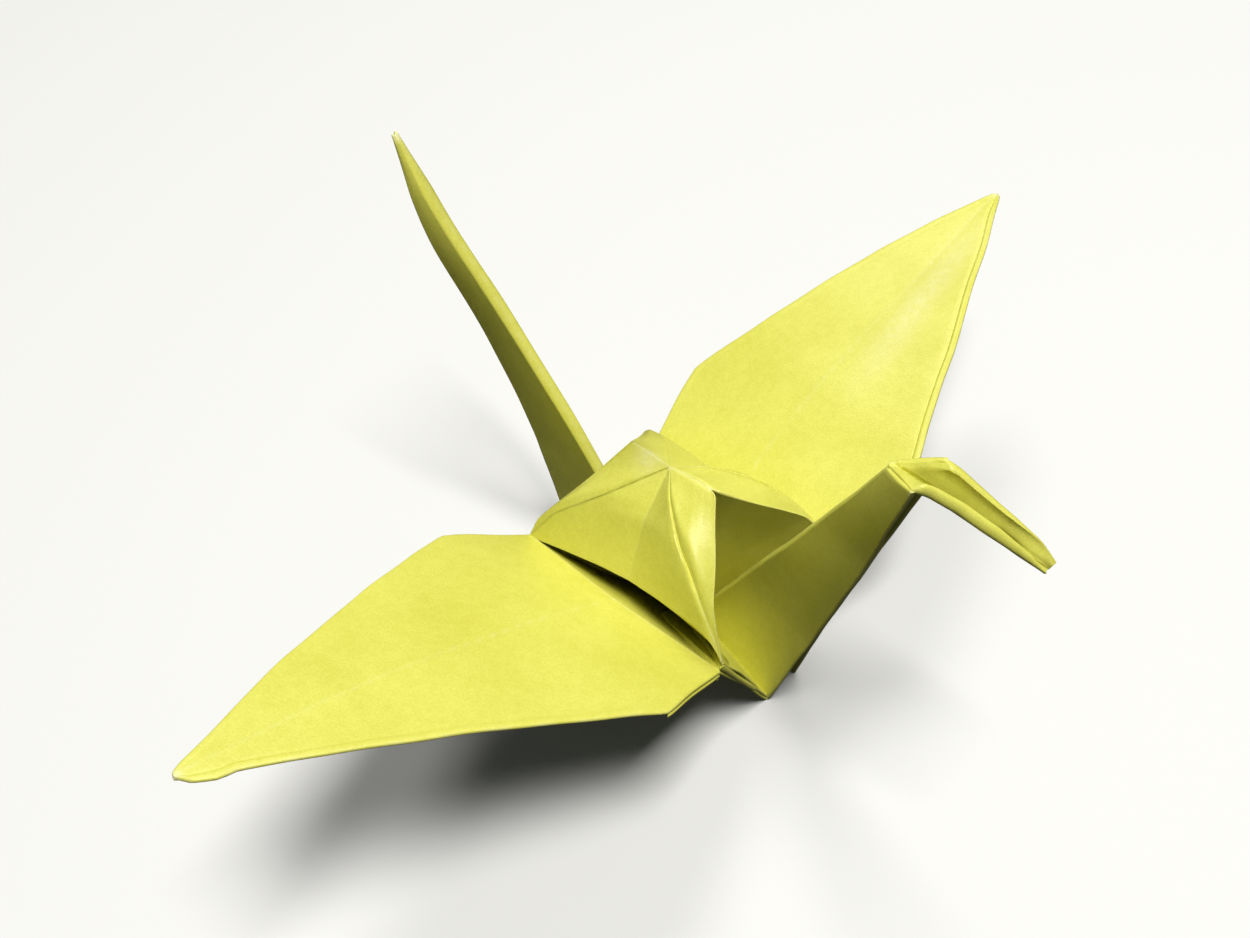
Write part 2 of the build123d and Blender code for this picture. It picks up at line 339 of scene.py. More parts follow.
def patch(first, last, start, end, u, v):
    """A surface between two curves that run alike, and the curves that join their ends.

    first and last run along the rows, at the shares u; start joins their beginnings and end
    their ends, at the shares v."""
    a, b = first(u), last(u)
    c, d = start(v), end(v)
    grid = a[:, None] * (1 - v)[None, :, None] + b[:, None] * v[None, :, None]
    grid = grid + c[None] * (1 - u)[:, None, None] + d[None] * u[:, None, None]
    corners = (
        a[0] * ((1 - u)[:, None, None] * (1 - v)[None, :, None])
        + a[-1] * (u[:, None, None] * (1 - v)[None, :, None])
        + b[0] * ((1 - u)[:, None, None] * v[None, :, None])
        + b[-1] * (u[:, None, None] * v[None, :, None])
    )
    return grid - corners


def paper_triangle(first, second, third):
    """A triangle of points that fans out from the first corner."""
    shares = spaced(14)
    return np.array(
        [[between(first, between(second, third, b), a) for b in shares] for a in shares]
    )


sheet = Sheet()
wear_and_light_marks = []  # worn lines and spots, painted highlights and painted shade: points, half width in mm, and strength, painted shade below zero


def trace(points, width, strength):
    """A worn line, painted highlight or painted shade through these points, or a spot at a single
    one.
    """
    wear_and_light_marks.append((np.asarray(points), width, strength))


def mark(curve, width, strength, fade=0.0):
    """A line along a curve, worn pale above zero and painted shade below, whose strength fades by
    this share towards its end.
    """
    shares = np.linspace(0, 1, 90)
    trace(curve(shares), width, strength * (1 - fade * shares**2))


# Painted shade inside the pockets: the depth at which it is darkest, and its strength
POCKET_DEEP = 2.6  # depth at which a pocket's inside is darkest
POCKET_SHADE = -0.7


def shaded(grid, depths):
    """The grid with a fourth column of painted shade, darker with depth inside a pocket."""
    ease = np.clip(np.broadcast_to(depths, grid.shape[:2]) / POCKET_DEEP, 0, 1)
    return np.concatenate([grid, (POCKET_SHADE * ease * ease * (3 - 2 * ease))[..., None]], axis=2)


# The curves of the hump and the body, by (share of the way, (forward, outward, up)) off the
# chord: from the top to the rim's corners, the roof's outer edges, its lower edges over the
# pockets, its middle creases, its ridge, and the gussets' edges down to the keel
TO_CORNER = {
    "tail": (
        (0.2, (-0.1, 0.5, 0.25)),
        (0.35, (-0.25, 0.9, 0.4)),
        (0.5, (-0.38, 0.75, 0.46)),
        (0.74, (-0.5, 0.36, 0.5)),
        (0.95, (-0.14, 0.1, 0.1)),
    ),
    "head": (
        (0.17, (0, 0.75, 0.72)),
        (0.28, (0, 0.88, 1.05)),
        (0.44, (0, 1.04, 1.22)),
        (0.59, (0, 0.81, 1.51)),
        (0.72, (0, 0.68, 1.37)),
        (0.86, (0, 0.4, 0.86)),
    ),
}
ROOF_EDGE = {
    "tail": (
        (0.31, (-0.03, 0, 0.03)),
        (0.5, (-0.14, 0.05, 0.1)),
        (0.67, (-0.29, 0.1, 0.2)),
        (0.85, (-0.4, 0.1, 0.28)),
    ),
    "head": (
        (0.1, (0, -0.39, 0.74)),
        (0.36, (0, -0.07, 0.92)),
        (0.69, (0, 0.56, 1.06)),
        (0.84, (0, 0.4, 0.66)),
    ),
}
CONTOUR = {
    "tail": ((0.3, (0, 0, 0.2)), (0.7, (0, 0, 0.25))),
    "head": ((0.13, (0, 0, 1.15)), (0.31, (0, 0, 1.32)), (0.7, (0, 0, 0.74))),
}
ROOF_MIDDLE = ((0.5, (0, 0.4, 0.7)),)
RIDGE = ((0.5, (0, 0, 0.06)),)
BODY_EDGE = ((0.3, (0, -0.34, 0)), (0.7, (0, -0.22, 0)))
CORNER_LIFT = {"tail": 0.15, "head": 0.4}  # of the hump's corners above those of the rim

# Half width and strength of the worn lines and spots on the hump, and of the painted highlight on
# its crown
MIDDLE_MARK = (0.1, 0.12)
ROOF_EDGE_MARK = (0.07, 0.25)
CONTOUR_MARK = (0.08, 0.25)
BODY_EDGE_MARK = (0.08, 0.3)
RIDGE_MARK = (0.09, 0.25)
CORNER_SPOT = (0.12, 0.7)
CROWN_HIGHLIGHT = (0.9, 0.5)
TO_CORNER_WIDTH = 0.06
TO_CORNER_FADE = {"tail": 0.7, "head": 0.0}
# Strength of the line along each crease to a corner: pale above zero, and painted shade along the
# valley below zero
CORNER_PALE_AND_SHADE = {
    (NEAR, "tail"): -1.0,
    (NEAR, "head"): 0.5,
    (FAR, "tail"): -0.15,
    (FAR, "head"): 0.45,
}


def hump_corner(side, end):
    return seen_from(side, rim[end]) + vec(0, 0, CORNER_LIFT[end])


def hump_sheet():
    """The roof, the gussets and the pockets' inner walls: one layer, folded and puffed."""
    grids = []
    rows, columns = spaced(40, 0.5), spaced(26, 0.85)
    centre = point_curve(top)
    behind_gusset = vec(0, 0, 5.0)
    for side in SIDES:
        edge, fold = seen_from(side, hump_edge), seen_from(side, hinge_middle)
        behind_toe = body_middle + vec(0, 8 * side, 0)
        to_edge = line(top, edge, ROOF_MIDDLE, side)
        mark(to_edge, *MIDDLE_MARK)
        for end in WAYS:
            corner = hump_corner(side, end)
            heel, base = seen_from(side, hinge[end]), seen_from(side, keel[end])
            ridge = line(top, crown[end], RIDGE)
            crease = line(top, corner, TO_CORNER[end], side)
            outer = line(crown[end], corner, ROOF_EDGE[end], side)
            contour = line(corner, edge, CONTOUR[end], side)
            down = line(corner, base, BODY_EDGE, side)
            valley = line(root[end], corner)
            spine = line(crown[end], root[end])

            band = patch(ridge, crease, centre, outer, rows, columns)
            main = patch(crease, to_edge, centre, contour, rows, columns)
            gusset = patch(spine, outer, point_curve(crown[end]), valley, rows, columns)
            toe = patch(valley, line(root[end], base), point_curve(root[end]), down, rows, columns)
            inner = patch(
                contour,
                line(heel, fold),
                line(corner, heel),
                line(edge, fold),
                columns,
                spaced(22, 0.5),
            )
            grids += [shaded(facing(part, body_middle), 0.0) for part in (band, main)]
            grids.append(shaded(facing(gusset, behind_gusset), 0.0))
            grids.append(shaded(facing(toe, behind_toe), 0.0))
            # The pocket's inner wall carries painted shade that deepens with depth
            inner = shaded(inner, np.linalg.norm(inner - inner[:, :1], axis=2))
            grids.append(facing(inner, body_middle))

            mark(crease, TO_CORNER_WIDTH, CORNER_PALE_AND_SHADE[side, end], TO_CORNER_FADE[end])
            mark(outer, *ROOF_EDGE_MARK)
            mark(contour, *CONTOUR_MARK)
            mark(down, *BODY_EDGE_MARK)
            mark(ridge, *RIDGE_MARK)
    return grids


points, quads = weld(hump_sheet(), rounds=1)
sheet.add(points, quads, PLY, FOLDED)
trace([hump_corner(NEAR, "head")], *CORNER_SPOT)
# A painted highlight on the crown's bright facet
trace([between(crown["tail"], top, 0.5) + vec(0, -0.5, 0)], *CROWN_HIGHLIGHT)


wing_end = between(corner_out, wing_length, WING_END)
TIP_ROUND = 0.7  # length over which a wing's tip is rounded
TIP_BLUNT = {NEAR: 0.27, FAR: 0.55}  # share of the width that is left at the very tip
# A folded-in flap shows beyond the near wing's edge, by (from the tip, mm)
NEAR_FLAP = ((0.1, 0.35, 1.7, 2.2), (0.0, 0.3, 0.42, 0.0))

# The centre crease rises above the wing's edges at the body and sinks below them at the tip.
# It turns from the one to the other over a stretch of the wing, by shares of its length, and
# the wing comes up by a share of what it sinks
CREASE_RISE = {NEAR: (0.2, 0.05), FAR: (0.25, -1.0)}
SINK_FROM, SINK_OVER = 0.3, 0.4
SINK_MADE_UP = 0.4

# The rolled strip along a wing's edge: its width in mm and at most as a share of the wing's
# half, its height, how full its round is, and the dip beside it
HEM, HEM_SHARE = 0.38, 0.3
ROLL_HEIGHT, ROLL_FULL = 0.07, 0.7
DIP_DEPTH, DIP_WIDTH = 0.05, 0.14
ROLL_FROM, ROLL_OVER = 1.0, 4.0  # where it starts, and the length over which it grows
# How strongly it is rolled, by side and way
HEM_ROLL = {(NEAR, -1): 0.1, (NEAR, 1): 0.2, (FAR, -1): 0.2, (FAR, 1): 1.0}

# Half width and strength of the worn lines and spots on a wing
HEM_MARK = (0.12, 0.3)
RIM_MARK = (0.09, 0.35)
CREASE_MARK = (0.1, 0.22)
TIP_SPOT = (0.35, 1.0)
CREASE_FROM = 2.0  # the mark along the centre crease starts this far out
# A painted sheen, a broad pale patch: half width, greatest strength, where it starts and ends as
# shares of the wing, those over which its strength swells and fades, and how far from the crease
# it is at the tip and how much further at the body
SHEEN_PATCH = (1.2, 0.4)
SHEEN_SPAN = (0.35, 0.9)
SHEEN_FROM, SHEEN_OVER = 0.3, 0.65
SHEEN_AT_TIP, SHEEN_FURTHER = 0.5, 3.0

# Stations out from the rim, as shares of the way to the widest place; back from the tip, in mm;
# and down the pocket's wall, as shares of it
RIM_STATIONS = (0, 0.003, 0.01, 0.03, 0.07, 0.13, 0.2, 0.3, 0.42, 0.56, 0.7, 0.85)
TIP_STATIONS = (0.6, 0.4, 0.2, 0.08, 0)
WALL_STATIONS = (0.006, 0.02, 0.05, *np.linspace(0, 1, 13)[1:])


def wing_ways(side):
    """A wing's three directions: across towards the head, out along it, and up."""
    rise, turn = math.radians(WING[side]["lift"]), math.radians(WING[side]["sweep"])
    across = unit(seen_from(side, rim["head"]) - seen_from(side, rim["tail"]))
    out = vec(
        -math.sin(turn) * math.cos(rise), side * math.cos(turn) * math.cos(rise), math.sin(rise)
    )
    up = unit(np.cross(across, out)) * side
    roll = WING[side]["roll"]
    return turned(across, out, roll), out, turned(up, out, roll)


def wall_outward(side):
    return unit(vec(0, side * math.sin(slope), -math.cos(slope)))


def wing_half(distance, side=FAR, way=-1):
    """Half the width of a wing to one way of its crease, by default of one with no extra flap."""
    if distance < corner_out:
        return between(rim_width, corner_half, distance / corner_out)
    share = (distance - corner_out) / (wing_length - corner_out)
    half = max(corner_half * (1 - share) + 4 * BELLY * share * (1 - share), TIP_WIDTH / 2)
    from_tip = wing_end - distance
    if side == NEAR and way > 0:
        half += float(np.interp(from_tip, *NEAR_FLAP))
    rounding = min(1.0, max(0.0, from_tip / TIP_ROUND))
    blunt = TIP_BLUNT[side]
    return half * (blunt + (1 - blunt) * math.sqrt(1 - (1 - rounding) ** 2))


def on_wing(side, distance, aside=0.0, below=0.0):
    """A place on a wing, by its distance out from the rim, aside from the crease, and below."""
    across, out, up = wing_ways(side)
    share = distance / wing_length
    bow = 4 * WING[side]["bow"] * share * (1 - share)
    sinking = min(1.0, max(0.0, (share - SINK_FROM) / SINK_OVER))
    camber = between(*CREASE_RISE[side], sinking)
    rise = camber * (wing_half(distance) - abs(aside)) / corner_half
    sunk = max(0.0, CREASE_RISE[side][0] - camber)
    rise += sunk * SINK_MADE_UP * (1 - abs(aside) / corner_half)
    return seen_from(side, rim_line) + out * distance + across * aside + up * (bow + rise - below)


def wing_profile(side, distance):
    """Places across a wing, and depths below its upper face, from slit to slit round its edges."""
    turn = wing_depth / 2
    arc = np.radians(np.linspace(-90, 90, 9)[1:-1])
    along_roll = np.linspace(0, 1, 9)[1:]
    growth = min(1.0, max(0.0, (distance - ROLL_FROM) / ROLL_OVER))
    under, over = {}, {}
    for way in (-1, 1):
        half = wing_half(distance, side, way)
        hem = min(HEM, HEM_SHARE * half)
        roll = HEM_ROLL[side, way] * growth
        flat = spaced(24, 0.3) * (half - hem - turn)
        strip = half - turn - hem + hem * along_roll
        lift = ROLL_HEIGHT * roll * np.sin(np.pi * along_roll) ** ROLL_FULL
        dip = DIP_DEPTH * roll * np.exp(-(((half - turn - hem - flat) / DIP_WIDTH) ** 2))
        over[way] = [(way * a, d) for a, d in zip(flat, dip)]
        over[way] += [(way * a, -d) for a, d in zip(strip, lift)]
        for b in arc:
            edge = half - turn + turn * math.cos(b)
            over[way].append((way * edge, turn + turn * math.sin(b)))
        under[way] = [(way * a, wing_depth) for a in np.linspace(half - turn, SLIT / 2, 12)]
    left, right = over[-1] + under[-1], over[1] + under[1]
    return left[:0:-1] + right


def wing_sheet(side):
    """A wing from its tip in to the rim, and on down the pocket's outer wall to the hinge."""
    towards_tip = between(corner_out, wing_end, spaced(50))
    towards_tip = np.concatenate([towards_tip[:-1], wing_end - np.array(TIP_STATIONS)])
    stations = np.concatenate([corner_out * np.array(RIM_STATIONS), np.unique(towards_tip)])
    rows = []
    for distance in stations[::-1]:
        row = []
        for aside, below in wing_profile(side, distance):
            start = RIM_BOW * (1 - min(1.0, abs(aside) / rim_width))
            place = distance + start * (1 - distance / wing_end) ** 6
            row.append(on_wing(side, place, aside, below))
        rows.append(row)
    # Down the wall, the upper layer of the wing is the inner one
    profile = wing_profile(side, 0.0)
    rim_row = rows[-1]
    fold = seen_from(side, hinge_middle)
    heels = {way: seen_from(side, hinge[end]) for end, way in WAYS.items()}
    outward = wall_outward(side)
    for down in WALL_STATIONS:
        row = []
        for place, (aside, depth) in zip(rim_row, profile):
            end = between(fold, heels[-1 if aside < 0 else 1], abs(aside) / rim_width)
            row.append(between(place, end + outward * (depth - wing_depth / 2), down))
        rows.append(row)
    grid = np.array(rows)
    # The pocket's inside is the wing's upper layer, below the rim, and carries painted shade that
    # deepens with depth
    upper = np.array([depth < wing_depth / 2 for _, depth in profile])
    depths = np.linalg.norm(grid - np.array(rim_row), axis=2)
    depths[: len(stations)] = 0.0
    return shaded(grid, depths * upper)


def wing_flaps(side):
    """The leg's thinned edge, two layers on the wing's underside and on the wall."""
    under = wing_depth + WALL / 2 + CLEAR
    inset = RIM_BOW * (1 - flap_inner / rim_width)
    fold = seen_from(side, hinge_middle)
    mouth = on_wing(side, RIM_BOW, 0, wing_depth / 2)
    outward = wall_outward(side)
    for end, way in WAYS.items():
        above_wing = on_wing(side, 3.0, way * 6.0, -3.0)
        corner = on_wing(side, 0, way * rim_width, under)
        widest = on_wing(side, corner_out, way * corner_half, under)
        inner = on_wing(side, inset, way * flap_inner, under)
        tip = between(mouth, fold, 1 - flap_top / pocket_depth)
        flap = facing(paper_triangle(corner, widest, inner), above_wing)
        sheet.add(*weld([flap]), WALL, FOLDED, centred=True, bulge=BULGE)
        upper = paper_triangle(corner, inner, tip) + outward * (wing_depth / 2 + PLY)
        sheet.add(*weld([facing(upper, body_middle)]), WALL, FOLDED, centred=True, bulge=BULGE)
        lower = paper_triangle(seen_from(side, rim[end]), tip, fold)
        lower = lower + outward * (wing_depth / 2 + STACK / 2)
        sheet.add(*weld([facing(lower, body_middle)]), STACK, FOLDED, centred=True)


def wing_wear(side):
    """Worn lines along the rim, the hems and the centre crease, and the bare tip."""
    distances = np.linspace(corner_out, wing_end, 60)
    for way in (-1, 1):
        trace(
            [on_wing(side, d, way * wing_half(d, side, way), wing_depth / 3) for d in distances],
            *HEM_MARK,
        )
        mark(line(on_wing(side, RIM_BOW, 0), on_wing(side, 0, way * rim_width)), *RIM_MARK)
    distances = np.linspace(CREASE_FROM, wing_end, 90)
    trace([on_wing(side, d, 0.0) for d in distances], *CREASE_MARK)
    trace([on_wing(side, wing_end, 0, wing_depth / 2)], *TIP_SPOT)


def paint_sheen(side):
    """A painted sheen: a broad pale patch on the head's side of a wing's centre crease."""
    width, strength = SHEEN_PATCH
    shares = np.linspace(*SHEEN_SPAN, 30)
    asides = SHEEN_FURTHER * (1 - shares) + SHEEN_AT_TIP
    places = [on_wing(side, wing_end * t, aside) for t, aside in zip(shares, asides)]
    swell = np.sin(np.pi * (shares - SHEEN_FROM) / SHEEN_OVER)
    trace(places, width, strength * swell)


for side in SIDES:
    far_below = on_wing(side, wing_length / 2) - 100 * wing_ways(side)[2]
    grid = facing(wing_sheet(side), far_below)
    sheet.add(*weld([grid], rounds=1), PLY)
    wing_flaps(side)
    wing_wear(side)
# A painted sheen on the far wing
paint_sheen(FAR)


LAYER_SHIFT = vec(0, 0.1, -0.03)  # of a lower wall's two layers from their middle


def lower_walls():
    """From the hinge down to the keel and in to the spine, all layers together."""
    shares = spaced(20)
    for side in SIDES:
        fold = seen_from(side, hinge_middle)
        for end in WAYS:
            corner, heel, base = [seen_from(side, group[end]) for group in (rim, hinge, keel)]
            wall = patch(
                line(heel, base),
                line(fold, root[end]),
                line(heel, fold),
                line(base, root[end]),
                shares,
                shares,
            )
            points, quads = weld([facing(wall, body_middle)])
            for layer in (-1, 1):
                shifted = points + layer * seen_from(side, LAYER_SHIFT)
                sheet.add(shifted, quads, WALL - CLEAR, FOLDED, centred=True, bulge=BULGE)
            web = facing(paper_triangle(corner, heel, fold), body_middle)
            sheet.add(*weld([web]), STACK, FOLDED, centred=True, bulge=BULGE)


lower_walls()


def leg_tip(end, angle):
    turn = math.radians(angle)
    return root[end] + vec(WAYS[end] * math.cos(turn), 0, math.sin(turn)) * leg


tail_tip, neck_tip = leg_tip("tail", TAIL_ANGLE), leg_tip("head", NECK_ANGLE)
tail_hem, neck_hem = keel["tail"] * vec(1, 0, 1), keel["head"] * vec(1, 0, 1)
nape = neck_tip + unit(root["head"] - neck_tip) * HEAD_RIDGE
throat = neck_tip + unit(neck_hem - neck_tip) * HEAD_HEM
fold_line = unit(throat - nape)
beak = nape + fold_line * (2 * fold_line @ (neck_tip - nape)) - (neck_tip - nape)

# Each leg's look: the height of the ridge's round, the bulge of its sides, the depth of its
# layers at the hem, at the tip and at the start, and the share from which they thin to the tip
TAIL_LOOK = {"crest": 0.25, "puff": 0.04, "hem": STACK, "tip": 0.2, "start": STACK, "thins": 0.93}
NECK_LOOK = {"crest": 0.25, "puff": 0.08, "hem": STACK, "tip": STACK, "start": STACK, "thins": 0.93}
HEAD_LOOK = {"crest": 0.3, "puff": -0.04, "hem": 0.66, "tip": 0.2, "start": 0.16, "thins": 0.55}
CREST_SHARE = 0.45  # the ridge's round takes at most this share of the leg's width
SKIN_SHARE = 0.85  # and the layers this share of its half
START_SHARE = 0.05  # share of a leg over which the depth at its start gives way
TWIST_FROM, TWIST_OVER = 0.52, 0.4  # shares of a leg between which it is twisted
# Half width and strength of the worn lines along a leg's ridge and hems
RIDGE_LINE = (0.16, 0.3)
HEM_LINE = (0.1, 0.5)


def leg_skin(share, flank, limit, look):
    """The depth of a leg's layers at a share of its length, from the ridge to the hem."""
    depth = STACK + (look["hem"] - STACK) * flank**4
    depth = depth + (look["tip"] - depth) * max(0.0, (share - look["thins"]) / (1 - look["thins"]))
    depth = depth + (look["start"] - depth) * max(0.0, 1 - share / START_SHARE) ** 2
    return np.minimum(depth, SKIN_SHARE * limit)


def folded_leg(ridge, hem, leans, stations, shares, look, twist=0.0):
    """Eight layers folded in a hairpin round a leg's ridge, four on each side, open at the hem.

    A station is (share, half thickness at the ridge, half thickness at the hem, and how far the
    hems stand towards the far wing from the ridge). The far half of the leg is turned about its
    ridge by twist, in degrees, hem towards the near wing."""
    known = np.array(stations, float)
    flank = spaced(26, 0.5)
    arc = np.radians(np.linspace(0, 180, 15)[1:-1])
    rows = []
    for share in shares:
        back, front, lean = between(*ridge, share), between(*hem, share), between(*leans, share)
        back_half, hem_half, aslant = (
            np.interp(share, known[:, 0], values) for values in known[:, 1:].T
        )
        along, width = unit(front - back), np.linalg.norm(front - back)
        bend = min(look["crest"], CREST_SHARE * width)
        inwards = bend + (width - bend) * flank
        body = back_half + (hem_half - back_half) * flank + look["puff"] * np.sin(np.pi * flank)
        near = list(zip(inwards, aslant * flank - body))[::-1]
        far = list(zip(inwards, aslant * flank + body))
        bent = [(bend - bend * math.sin(t), -back_half * math.cos(t)) for t in arc]
        turning = min(1.0, max(0.0, (share - TWIST_FROM) / TWIST_OVER))
        angle = math.radians(twist) * turning**2 * (3 - 2 * turning)
        inward = along * math.cos(angle) - vec(0, math.sin(angle), 0)
        aside = vec(0, math.cos(angle), 0) + along * math.sin(angle)
        origin = back + vec(0, lean, 0)
        skin = leg_skin(share, flank, np.minimum(body, width), look)
        skins = (*skin[::-1], *[skin[0]] * len(arc), *skin)
        places = [origin + inward * a + aside * b for a, b in near + bent + far]
        rows.append([(*place, depth) for place, depth in zip(places, skins)])
    # The fourth column carries the layers' depth through the weld
    hem_middle = between(*hem, 0.5)
    points, quads = weld([facing(np.array(rows), hem_middle)])
    sheet.add(points[:, :3], quads, points[:, 3], FOLDED, bulge=BULGE)

    start_lean, end_lean = (vec(0, value, 0) for value in leans)
    mark(line(ridge[0] + start_lean, ridge[1] + end_lean), *RIDGE_LINE)
    start_half, end_half = (
        np.interp(share, known[:, 0], known[:, 2]) for share in (shares[0], shares[-1])
    )
    for way in (-1, 1):
        start = hem[0] + start_lean + vec(0, way * start_half, 0)
        end = hem[1] + end_lean + vec(0, way * end_half, 0)
        mark(line(start, end), *HEM_LINE)


folded_leg(
    (root["tail"], tail_tip),
    (tail_hem, tail_tip),
    (0, 0),
    (
        (0, leg_half, KEEL_SPREAD + STACK / 2, 0),
        (0.3, leg_half, leg_half, 0),
        (0.7, leg_half, leg_half, 0),
        (0.86, leg_half + 0.14, leg_half + 0.06, 0),
        (LEG_END, 0.2, 0.2, 0),
    ),
    np.linspace(0, TAIL_END, 60),
    TAIL_LOOK,
    twist=26.0,
)
folded_leg(
    (root["head"], nape),
    (neck_hem, throat),
    (0, NECK_LEAN),
    (
        (0, leg_half, KEEL_SPREAD + STACK / 2, 0),
        (0.3, leg_half, leg_half, 0),
        (0.7, leg_half, leg_half, 0),
        (1, leg_half + 0.05, HEAD_SPREAD + 0.12, 0),
    ),
    spaced(56, 0.4),
    NECK_LOOK,
)
folded_leg(
    (nape, beak),
    (throat, beak),
    (NECK_LEAN, NECK_LEAN + HEAD_TURN),
    (
        (0, 0.3, HEAD_SPREAD + 0.02, 0),
        (0.1, 0.3, HEAD_SPREAD - 0.15, 0.2),
        (0.3, 0.3, 0.72 * HEAD_SPREAD, 0.3),
        (0.5, 0.3, 0.63 * HEAD_SPREAD, 0.28),
        (0.8, 0.3, 0.45 * HEAD_SPREAD, 0.3),
        (LEG_END, 0.2, 0.3 * HEAD_SPREAD, 0.25),
    ),
    np.linspace(0, BEAK_END, 44),
    HEAD_LOOK,
)
# The tail's tip is worn bare. The head's groove carries painted shade, darker in its slot towards
# the beak
groove_start = between(nape, throat, 0.6) + vec(0, NECK_LEAN + 0.15, 0)
groove_end = beak + vec(0, NECK_LEAN + HEAD_TURN + 0.25, 0)
groove = line(groove_start, groove_end)
trace([between(root["tail"], tail_tip, TAIL_END)], 0.4, 1.0)
trace(groove(np.linspace(0.04, 0.7, 50)), 0.42, -0.6)
trace(groove(np.linspace(0.6, LEG_END, 40)), 0.22, -1.0)


RIPPLES = ((16.0, 0.08), (8.0, 0.04), (4.0, 0.018))  # length and height of the waves
STILL_AT_FLOOR = 4.0  # height over which the ripple grows
STILL_AT_TIP = 5.0  # and the distance from a tip over which it does


def ripple(points):
    """The slight unevenness of folded paper, a smooth shift that is the same for all layers."""
    rng = np.random.default_rng(7)
    shift = np.zeros_like(points)
    for wave, height in RIPPLES:
        for _ in range(3):
            way = unit(rng.normal(size=3)) * 2 * math.pi / wave
            phase = rng.uniform(0, 2 * math.pi)
            shift += np.sin(points @ way + phase)[:, None] * unit(rng.normal(size=3)) * height
    fade = np.clip(points[:, 2] / STILL_AT_FLOOR, 0, 1)
    for tip in (on_wing(NEAR, wing_end), on_wing(FAR, wing_end), tail_tip, beak):
        fade *= np.clip(np.linalg.norm(points - tip, axis=1) / STILL_AT_TIP, 0, 1)
    return points + shift * fade[:, None]


def wear_and_painted_light_of(points):
    """How pale the paper is above zero, from wear and painted highlights, and how dark below zero,
    from painted shade, at each point.
    """
    total = np.zeros(len(points))
    for samples, width, strength in wear_and_light_marks:
        low, high = samples.min(0) - 4 * width, samples.max(0) + 4 * width
        near = np.flatnonzero(((points > low) & (points < high)).all(1))
        if len(near):
            gaps = np.linalg.norm(points[near, None] - samples[None], axis=2)
            nearest = gaps.argmin(1)
            gaps = gaps[np.arange(len(near)), nearest]
            strengths = np.broadcast_to(strength, len(samples))[nearest]
            total[near] += strengths * np.exp(-((gaps / width) ** 2))
    return np.clip(total, -1, 1)


def build(name):
    """The piece, with its wear and painted light at each point and a material slot for each face.
    """
    points = np.concatenate(sheet.points)
    # Wear and painted highlights above zero, painted shade below
    wear_and_painted_light = np.clip(wear_and_painted_light_of(points) + np.concatenate(sheet.shade), -1, 1)
    points = ripple(points)
    points[:, 2] = np.maximum(points[:, 2], FOOT)
    points = (points + CENTRING) * 0.001
    mesh = bpy.data.meshes.new(name)
    mesh.from_pydata(points.tolist(), [], sheet.faces)
    mesh.update()
    mesh.attributes.new("wear_and_painted_light", "FLOAT", "POINT").data.foreach_set("value", wear_and_painted_light)
    mesh.polygons.foreach_set("material_index", np.array(sheet.sides, np.int32))
    mesh.polygons.foreach_set("use_smooth", np.ones(len(sheet.sides), bool))
    obj = bpy.data.objects.new(name, mesh)
    bpy.context.scene.collection.objects.link(obj)
    mesh.set_sharp_from_angle(angle=math.radians(38))
    return obj


# Noises in the paper: how fine they are per metre, their detail, and their roughness
MOTTLE = (1500.0, 6.0, 0.75)
GRAIN = (7500.0, 2.0, 0.6)
CLOUD = (150.0, 3.0, 0.6)
PATCHES = (2600.0, 3.0, 0.6)
TONE_STOPS = (0.38, 0.62)  # the noise passes from the deep tone to the full colour here
PATCH_GAIN, PATCH_OFFSET = 1.6, -0.1  # of the noise that breaks up a worn line


